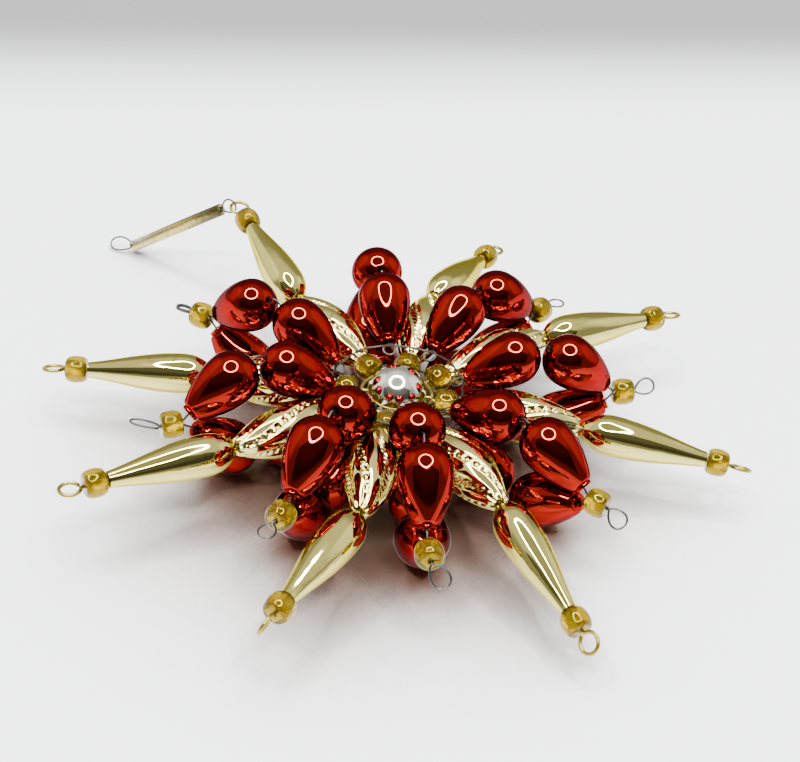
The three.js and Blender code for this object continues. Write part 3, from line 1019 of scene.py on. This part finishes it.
@dataclass
class Hub:
    """The brass ring that carries the eight arms, and the cross wire that carries the ball."""

    star: Vector
    ball: Axis
    radius: float = HUB_RADIUS
    wire: float = BRASS_WIRE

    def build(self, shop: Workshop) -> None:
        """Makes the ring and the cross wire.

        Args:
            shop: The workshop.
        """
        brass = [shop.palette.brass]
        ring = [self.star + polar(7.5 * step) * self.radius for step in range(48)]
        shop.piece("hub_ring", swept(ring, self.wire, 14, closed=True), brass, Slot.BRASS,
                   ["star_wire"])
        near, far = (self.star + self.ball.direction * reach
                     for reach in (-self.radius, self.radius))
        across = [near.lerp(far, step / 8) for step in range(9)]
        shop.piece("ball_cross_wire", swept(across, self.wire, 14), brass, Slot.BRASS,
                   ["star_wire"])


@dataclass(frozen=True)
class TipLoop:
    """The loop of steel wire past a petal's tip: where it points, how it leans and its size."""

    bearing: float
    rise: float = 0.0
    lean: float = 0.0
    length: float = 3.9 * MM
    width: float = 3.6 * MM
    turns: float = 1.0

    def points(self, start: Vector, pitch: float) -> list[Vector]:
        """The loop's middle line.

        Args:
            start: The point next to the seed bead.
            pitch: How far the wire moves sideways over all its turns.

        Returns:
            The points.
        """
        ahead = polar(self.bearing, self.rise)
        lean = math.radians(self.lean)
        side = Vector((0.0, -math.sin(lean), math.cos(lean))).cross(ahead).normalized()
        return teardrop(start, ahead, side, self.length, self.width, self.turns, pitch)


@dataclass
class Petal:
    """One petal: four red drops, a seed bead at its tip and the steel wire through them."""

    number: int
    tip_bearing: float
    loop: TipLoop
    star: Vector
    wire: float = STEEL_WIRE
    gap: float = GAP
    strand: float = 0.25 * MM
    hook_size: float = 2.3 * MM
    hook_start: float = -20.0
    hook_sweep: float = 365.0
    hook_pitch: float = 0.4 * MM
    drops: dict[str, Axis] = field(init=False)
    seed: Axis = field(init=False)

    def __post_init__(self) -> None:
        """Reads the drops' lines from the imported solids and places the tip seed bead."""
        self.drops = {}
        for level in ("upper", "lower"):
            inner, outer = (f"{level}_{part}_drop_{self.number}" for part in ("inner", "outer"))
            self.drops[inner] = bead_axis(inner, self.star, Facing.OUTWARD)
            self.drops[outer] = bead_axis(outer, self.star, Facing.INWARD)
        necks = [self.drops[f"{level}_outer_drop_{self.number}"] for level in ("upper", "lower")]
        neck = RedDrop().neck
        reach = max((neck_axis.start - self.star).length
                    + neck / 2.0 * abs(neck_axis.direction.z) for neck_axis in necks)
        lift = (necks[0].start.z + necks[1].start.z) / 2.0
        ahead = polar(self.tip_bearing)
        start = self.star + ahead * (reach + self.gap)
        start.z = lift
        self.seed = Axis(start, ahead, SeedBead().length)

    def half(self, level: str) -> list[Vector]:
        """The wire's corners in one half, from the ring's hook to the seed bead.

        Args:
            level: The half, upper or lower.

        Returns:
            The corners.
        """
        inner = self.drops[f"{level}_inner_drop_{self.number}"]
        outer = self.drops[f"{level}_outer_drop_{self.number}"]
        bend = inner.direction.angle(-outer.direction)
        across = (outer.end - inner.end).length
        peak = (inner.at(inner.length) + outer.at(outer.length)) / 2.0
        lift = across / 2.0 * math.tan(bend / 2.0)
        outward = (peak - (inner.start + outer.start) / 2.0).normalized()
        peak = peak + outward * lift
        hook = inner.at(-self.gap - self.wire / 2.0)
        rise = self.strand if level == "upper" else -self.strand
        return [hook, inner.start, inner.end, peak, outer.end, outer.start,
                self.seed.start + UP * rise]

    def hook_loop(self, level: str) -> list[Vector]:
        """The small loop that holds a half to its wire ring, ending at the half's first corner.

        Args:
            level: The half, upper or lower.

        Returns:
            The loop's points.
        """
        inner = self.drops[f"{level}_inner_drop_{self.number}"]
        hook = inner.at(-self.gap)
        side = UP.cross(inner.direction).normalized()
        out = inner.direction.cross(side)
        radius = self.hook_size / 2.0
        centre = hook - inner.direction * radius
        loop = []
        for step in range(25):
            turn = math.radians(self.hook_start + self.hook_sweep * (24 - step) / 24)
            loop.append(centre + inner.direction * (radius * math.cos(turn))
                        + side * (radius * math.sin(turn))
                        + out * (self.hook_pitch * (12 - step) / 24))
        return loop

    def path(self) -> list[Vector]:
        """The wire's whole middle line, from ring to ring.

        Returns:
            The points.
        """
        upper, lower = self.half("upper"), self.half("lower")
        tip = self.seed.at(self.seed.length)
        start = tip + self.seed.direction * (1.2 * self.wire)
        loop = self.loop.points(start, 1.6 * self.wire)
        there = rounded(upper + [tip + UP * self.strand], 0.5 * MM, 4)
        back = rounded([tip - UP * self.strand] + lower[::-1], 0.5 * MM, 4)
        return (self.hook_loop("upper") + there[1:] + loop + back[:-1]
                + self.hook_loop("lower")[::-1])

    def build(self, shop: Workshop) -> None:
        """Makes the petal's beads and its wire.

        Args:
            shop: The workshop.
        """
        drop = RedDrop()
        for name, axis in self.drops.items():
            drop.build(shop, name, axis)
        SeedBead().build(shop, f"petal_seed_bead_{self.number}", self.seed, ["petal_wires"])
        shop.piece(f"petal_wire_{self.number}", swept(self.path(), self.wire, 10),
                   [shop.palette.steel], Slot.STEEL, ["petal_wires"])


@dataclass
class WireRing:
    """A steel wire ring that runs over or under the ovals' inner necks and holds the petals."""

    name: str
    sign: float
    rays: Sequence[Ray]
    petals: Sequence[Petal]
    wire: float = STEEL_WIRE
    set_in: float = 0.7 * MM
    gap: float = GAP

    def build(self, shop: Workshop) -> None:
        """Makes the ring through its crossings and hooks.

        Args:
            shop: The workshop.
        """
        level = "upper" if self.sign > 0.0 else "lower"
        oval = PatternedOval()
        lift = oval.radius(self.set_in / oval.length) + self.gap + self.wire / 2.0
        corners = []
        for ray, petal in zip(self.rays, self.petals):
            corners.append(ray.oval.at(self.set_in) + UP * (self.sign * lift))
            inner = petal.drops[f"{level}_inner_drop_{petal.number}"]
            corners.append(inner.at(-self.gap - self.wire / 2.0))
        middles = [corners[index].lerp(corners[(index + 1) % len(corners)], share)
                   for index in range(len(corners)) for share in (0.14, 0.5, 0.86)]
        shop.piece(self.name, swept(middles, self.wire, 10, closed=True), [shop.palette.steel],
                   Slot.STEEL, ["petal_wires"])


@dataclass
class Hanger:
    """The hanging link: a foil-lined bugle bead on a steel wire with a loop at each end."""

    ray: Ray
    bearing: float = 163.0
    far_fall: float = 4.0
    far_turn: float = -25.0
    far_length: float = 5.2 * MM
    far_width: float = 4.0 * MM
    wire: float = STEEL_WIRE
    gap: float = GAP
    slack: float = 0.2 * MM
    loop: float = 3.9 * MM
    bugle_width: float = 2.6 * MM
    bugle_length: float = 26.0 * MM
    lift: float = 0.3 * MM
    bevel: float = 0.12 * MM
    foil_gap: float = 0.07 * MM
    foil_inset: float = 0.2 * MM

    def axis(self) -> Axis:
        """The bugle's line, from the eye that holds it down to the table.

        Returns:
            The bugle's axis.
        """
        radius = (self.ray.eye_width - self.ray.wire) / 2.0
        outer = self.ray.drop.direction
        turn = math.radians(self.bearing) - math.atan2(outer.y, outer.x)
        to_wire = outer * math.cos(turn) + self.ray.eye_side * math.sin(turn)
        held = self.ray.eye_centre + to_wire * radius
        inset = self.ray.wire / 2.0 + self.gap + self.wire / 2.0 + self.slack
        to_bugle = self.loop - inset
        drop = held.z - self.bugle_width / 2.0 - self.lift
        slope = math.degrees(math.asin(drop / (to_bugle + self.bugle_length)))
        down = polar(self.bearing, -slope)
        return Axis(held + down * to_bugle, down, self.bugle_length)

    def build(self, shop: Workshop) -> None:
        """Makes the bugle bead and its wire.

        Args:
            shop: The workshop.
        """
        axis = self.axis()
        bm = bmesh.new()
        half = self.bugle_width / 2.0
        bore = self.wire / 2.0 + 0.35 * MM
        edge, end = self.bevel, self.bugle_length
        shell = [(half - edge, 0.0), (half, edge), (half, end - edge), (half - edge, end),
                 (bore, end), (bore, 0.0)]
        turned(bm, shell, 32)
        outer, inner = half - self.foil_gap, bore + 0.1 * MM
        low, high = self.foil_inset, end - self.foil_inset
        foil = [(outer, low), (outer, high), (inner, high), (inner, low)]
        turned(bm, foil, 12, material=1)
        bmesh.ops.transform(bm, matrix=axis.placement(), verts=bm.verts)
        shop.piece("bugle_bead", bm, [shop.palette.clear, shop.palette.foil], Slot.GOLD,
                   ["hanger"])
        back = -axis.direction
        near = teardrop(axis.start + back * (0.5 * self.wire), back, sideways(back, 90.0),
                        self.loop - self.wire, self.loop - self.wire, 1.0, self.wire)
        ahead = polar(self.bearing, -self.far_fall)
        far = teardrop(axis.end + ahead * (0.5 * self.wire), ahead,
                       sideways(ahead, self.far_turn), self.far_length, self.far_width, 1.0,
                       self.wire)
        path = near[::-1] + [axis.start, axis.end] + far
        shop.piece("hanger_wire", swept(path, self.wire, 10), [shop.palette.steel], Slot.STEEL,
                   ["hanger"])


# The studio


@dataclass
class Studio:
    """The white light tent round the star: floor, light and camera."""

    star: Vector
    floor_reach: float = 1.6

    def camera_axes(self) -> tuple[Vector, Vector, Vector]:
        """The camera's right, up and backward directions.

        Returns:
            The three unit vectors.
        """
        rise, roll = math.radians(CAMERA_RISE), math.radians(CAMERA_ROLL)
        level = Vector((1.0, 0.0, 0.0))
        top = Vector((0.0, math.sin(rise), math.cos(rise)))
        back = Vector((0.0, -math.cos(rise), math.sin(rise)))
        right = level * math.cos(roll) + top * math.sin(roll)
        above = top * math.cos(roll) - level * math.sin(roll)
        return right, above, back

    def floor_point(self, column: float, row: float) -> Vector:
        """The point of the floor that a pixel of the photograph shows.

        Args:
            column: The pixel's place across.
            row: The pixel's place down.

        Returns:
            The point.
        """
        right, above, back = self.camera_axes()
        eye = self.star + back * CAMERA_DISTANCE
        way = (right * (column - STAR_PIXEL[0]) - above * (row - STAR_PIXEL[1])
               - back * FOCAL_PIXELS)
        return eye - way * (eye.z / way.z)

    def camera(self) -> None:
        """Places the camera as in the photograph."""
        right, above, back = self.camera_axes()
        data = bpy.data.cameras.new("photo_camera")
        data.sensor_fit = "HORIZONTAL"
        data.sensor_width = SENSOR_WIDTH
        data.lens = FOCAL_PIXELS / IMAGE_WIDTH * SENSOR_WIDTH
        data.shift_x = (IMAGE_WIDTH / 2.0 - STAR_PIXEL[0]) / IMAGE_WIDTH
        data.shift_y = (STAR_PIXEL[1] - IMAGE_HEIGHT / 2.0) / IMAGE_WIDTH
        data.clip_start = 0.01
        eye = bpy.data.objects.new("photo_camera", data)
        turn = Matrix((right, above, back)).transposed().to_4x4()
        eye.matrix_world = Matrix.Translation(self.star + back * CAMERA_DISTANCE) @ turn
        bpy.context.scene.collection.objects.link(eye)
        bpy.context.scene.camera = eye

    def floor(self) -> None:
        """Lays the glossy white floor."""
        bm = bmesh.new()
        bmesh.ops.create_grid(bm, x_segments=1, y_segments=1, size=self.floor_reach)
        mesh = bpy.data.meshes.new("tent_floor")
        bm.to_mesh(mesh)
        bm.free()
        sheet = Sheet("glossy_white_floor")
        self.shade(sheet, self.plain(sheet))
        sheet.join(sheet.range(sheet.noise(14.0), 0.2, 0.3), sheet.shader.inputs["Roughness"])
        mesh.materials.append(sheet.material)
        floor = bpy.data.objects.new("tent_floor", mesh)
        bpy.context.scene.collection.objects.link(floor)

    def plain(self, sheet: Sheet) -> Socket:
        """The floor's colour without the star's shade: its own white, turning behind the star to a
        painted dimmer grey that stands in for the light fading toward the back.

        Args:
            sheet: The floor's material.

        Returns:
            The colour socket.
        """
        left, right = (self.floor_point(column, FLOOR_BRIGHT_ROW) for column in (0.0, IMAGE_WIDTH))
        edge = (right - left).normalized()
        behind = Vector((-edge.y, edge.x, 0.0))
        across = sheet.tree.nodes.new("ShaderNodeVectorMath")
        across.operation = "DOT_PRODUCT"
        across.inputs[1].default_value = behind
        sheet.join(sheet.place, across.inputs[0])
        far = self.floor_point(IMAGE_WIDTH / 2.0, FLOOR_DIM_ROW)
        painted_dimming = sheet.range(across.outputs["Value"], 0.0, 1.0, left.dot(behind), far.dot(behind))
        painted_dimming.node.interpolation_type = "SMOOTHSTEP"
        # From the floor's own white to the painted dimmer grey far behind
        return sheet.blend(painted_dimming, FLOOR_NEAR, FLOOR_FAR_PAINTED_DIM, 0.0, 1.0)

    def shade(self, sheet: Sheet, plain: Socket) -> None:
        """Shades the floor softly where the star covers it, but not in reflections.

        Args:
            sheet: The floor's material.
            plain: The floor's colour without the star's shade, with its painted dimming behind.
        """
        cover = sheet.tree.nodes.new("ShaderNodeAmbientOcclusion")
        cover.samples = 10
        cover.inputs["Distance"].default_value = SHADE_REACH
        lean = sheet.tree.nodes.new("ShaderNodeCombineXYZ")
        for socket, value in zip(lean.inputs, SHADE_AXIS):
            socket.default_value = value
        sheet.join(lean.outputs["Vector"], cover.inputs["Normal"])
        clear = sheet.range(cover.outputs["AO"], 0.0, 1.0, SHADE_DEEP, SHADE_CLEAR)
        deepen = sheet.tree.nodes.new("ShaderNodeMix")
        deepen.data_type = "RGBA"
        deepen.blend_type = "MULTIPLY"
        seen = sheet.tree.nodes.new("ShaderNodeLightPath").outputs["Is Camera Ray"]
        tint = sheet.blend(clear, FLOOR_SHADE, (1.0, 1.0, 1.0), 0.0, 1.0)
        for source, index in ((seen, 0), (plain, 6), (tint, 7)):
            sheet.join(source, deepen.inputs[index])
        sheet.join(deepen.outputs[2], sheet.shader.inputs["Base Color"])

    def build(self) -> None:
        """Sets the camera, the floor and the light."""
        self.camera()
        self.floor()
        TentLight().build()


class TentLight:
    """The tent's light: white walls, a dark open front and a ring lamp above."""

    def __init__(self) -> None:
        """Starts an empty world, read by direction."""
        world = bpy.data.worlds.new("light_tent")
        bpy.context.scene.world = world
        world.use_nodes = True
        self.tree = world.node_tree
        self.tree.nodes.clear()
        self.way = self.tree.nodes.new("ShaderNodeTexCoord").outputs["Generated"]

    def mix(self, name: str, first: Socket | float, second: Socket | float) -> Socket:
        """Joins two values by a Math node.

        Args:
            name: The node's operation.
            first: The first value.
            second: The second value.

        Returns:
            The result's socket.
        """
        node = self.tree.nodes.new("ShaderNodeMath")
        node.operation = name
        for socket, value in zip(node.inputs, (first, second)):
            if isinstance(value, Socket):
                self.tree.links.new(value, socket)
            else:
                socket.default_value = value
        return node.outputs[0]

    def smooth(self, value: Socket, start: float, stop: float) -> Socket:
        """Zero below start, one above stop and smooth between them.

        Args:
            value: The value that is compared.
            start: Where the rise starts.
            stop: Where it ends.

        Returns:
            The factor socket.
        """
        ramp = self.tree.nodes.new("ShaderNodeMapRange")
        ramp.interpolation_type = "SMOOTHSTEP"
        ramp.inputs["From Min"].default_value = start
        ramp.inputs["From Max"].default_value = stop
        self.tree.links.new(value, ramp.inputs["Value"])
        return ramp.outputs["Result"]

    def cone(self, axis: Vector, spread: tuple[float, float]) -> Socket:
        """One round a direction, and zero farther from it.

        Args:
            axis: The direction.
            spread: The degrees from it where the one stops and where the zero starts.

        Returns:
            The factor socket.
        """
        dot = self.tree.nodes.new("ShaderNodeVectorMath")
        dot.operation = "DOT_PRODUCT"
        dot.inputs[1].default_value = axis
        self.tree.links.new(self.way, dot.inputs[0])
        inside, outside = (math.cos(math.radians(angle)) for angle in spread)
        return self.smooth(dot.outputs["Value"], outside, inside)

    def front(self) -> Socket:
        """One in the dark front opening and zero outside it.

        Returns:
            The factor socket.
        """
        split = self.tree.nodes.new("ShaderNodeSeparateXYZ")
        self.tree.links.new(self.way, split.inputs["Vector"])
        right, behind, above = (split.outputs[name] for name in "XYZ")
        ahead = self.mix("MULTIPLY", behind, -1.0)
        reach = self.mix("ADD", self.mix("MULTIPLY", ahead, FRONT_WIDE),
                         self.mix("MULTIPLY", above, FRONT_FLARE))
        wide = self.mix("SUBTRACT", reach, self.mix("ABSOLUTE", right, 0.0))
        high = self.mix("SUBTRACT", self.mix("MULTIPLY", ahead, FRONT_HIGH), above)
        low = self.mix("SUBTRACT", above, self.mix("MULTIPLY", ahead, FRONT_LOW))
        front = self.mix("MULTIPLY", self.smooth(wide, -0.04, 0.08),
                         self.smooth(high, -0.04, 0.08))
        return self.mix("MULTIPLY", front, self.smooth(low, -0.12, 0.06))

    def glow(self) -> Socket:
        """The tent's brightness in every direction.

        Returns:
            The strength socket.
        """
        lamp = polar(*LAMP_WAY)
        ring = self.mix("SUBTRACT", self.cone(lamp, RING_OUTSIDE), self.cone(lamp, RING_INSIDE))
        sides = self.mix("ADD", *(self.cone(polar(bearing, SIDE_RISE), SIDE_SPREAD)
                                  for bearing in SIDE_BEARINGS))
        wall = self.mix("ADD", WALL_GLOW,
                        self.mix("MULTIPLY", self.cone(lamp, CEILING_SPREAD), CEILING_GLOW))
        wall = self.mix("SUBTRACT", wall, self.mix("MULTIPLY", self.cone(lamp, HOLLOW_SPREAD),
                                                   CEILING_GLOW * HOLLOW_DIM))
        wall = self.mix("ADD", wall, self.mix("MULTIPLY", sides, SIDE_GLOW))
        open_share = self.mix("SUBTRACT", 1.0, self.mix("MULTIPLY", self.front(), FRONT_DARK))
        wall = self.mix("MULTIPLY", wall, open_share)
        return self.mix("ADD", wall, self.mix("MULTIPLY", ring, RING_GLOW))

    def build(self) -> None:
        """Lights the scene by the tent, and shows the camera a plain pale backdrop."""
        tent = self.tree.nodes.new("ShaderNodeBackground")
        tent.inputs["Color"].default_value = TENT_COLOUR
        plain = self.tree.nodes.new("ShaderNodeBackground")
        plain.inputs["Color"].default_value = BACKDROP_COLOUR
        path = self.tree.nodes.new("ShaderNodeLightPath")
        choice = self.tree.nodes.new("ShaderNodeMixShader")
        output = self.tree.nodes.new("ShaderNodeOutputWorld")
        for source, target in ((self.glow(), tent.inputs["Strength"]),
                               (path.outputs["Is Camera Ray"], choice.inputs["Fac"]),
                               (tent.outputs["Background"], choice.inputs[1]),
                               (plain.outputs["Background"], choice.inputs[2]),
                               (choice.outputs["Shader"], output.inputs["Surface"])):
            self.tree.links.new(source, target)


class SubAssembly(Protocol):
    """A part of the ornament that makes its own pieces."""

    def build(self, shop: Workshop) -> None:
        """Makes the pieces."""


@dataclass
class Star:
    """The whole ornament."""

    eye_turns: tuple[float, ...] = (20.0, 5.0, 70.0, 60.0, -30.0, -20.0, 0.0, 0.0)
    knob_turns: tuple[float, ...] = (10.0, 38.0, 40.0, -4.0, -8.0, -34.0, 20.0, 4.0)
    tip_bearings: tuple[float, ...] = (203.0, 246.0, 280.5, 326.5, 12.0, 51.0, 101.0, 156.0)
    tip_loops: tuple[TipLoop, ...] = (
        TipLoop(167.0, lean=-22.0, length=5.3 * MM, width=3.2 * MM),
        TipLoop(247.0, length=4.0 * MM, width=3.4 * MM),
        TipLoop(322.7, -39.1, 53.3, 4.7 * MM, 3.9 * MM),
        TipLoop(328.9, -34.8, 53.3, 4.0 * MM, 3.8 * MM),
        TipLoop(19.3, 23.9, 53.3, 3.9 * MM, 3.5 * MM),
        TipLoop(32.0, length=3.9 * MM, width=3.6 * MM),
        TipLoop(101.0),
        TipLoop(149.6, lean=-24.0, length=3.2 * MM, width=3.2 * MM, turns=2.0),
    )

    def parts(self, middle: Vector, ball: Axis) -> Iterator[SubAssembly]:
        """The sub-assemblies, in the order that they are made.

        Args:
            middle: The middle of the star.
            ball: The bore of the ball.

        Yields:
            Each sub-assembly.
        """
        rays = [Ray(index + 1, eye, knobs, middle)
                for index, (eye, knobs) in enumerate(zip(self.eye_turns, self.knob_turns))]
        petals = [Petal(index + 1, bearing, loop, middle)
                  for index, (bearing, loop) in enumerate(zip(self.tip_bearings, self.tip_loops))]
        yield Hub(middle, ball)
        yield from rays
        yield from petals
        yield WireRing("upper_wire_ring", 1.0, rays, petals)
        yield WireRing("lower_wire_ring", -1.0, rays, petals)
        yield Hanger(rays[7])

    def build(self, shop: Workshop) -> Vector:
        """Makes every piece of the ornament.

        Args:
            shop: The workshop.

        Returns:
            The middle of the star.
        """
        low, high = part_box("silver_ball")
        middle = (low + high) / 2.0
        ball = bead_axis("silver_ball", middle, Facing.OUTWARD)
        SilverBall().build(shop, ball)
        for part in self.parts(middle, ball):
            part.build(shop)
        return middle


def main() -> None:
    """Builds the ornament and its studio, and logs how many pieces were made."""
    logging.basicConfig(level=logging.INFO, format="%(name)s %(message)s")
    shop = Workshop(Palette())
    middle = Star().build(shop)
    Studio(middle).build()
    LOG.info("%d pieces", shop.count)


if __name__ == "__main__":
    main()
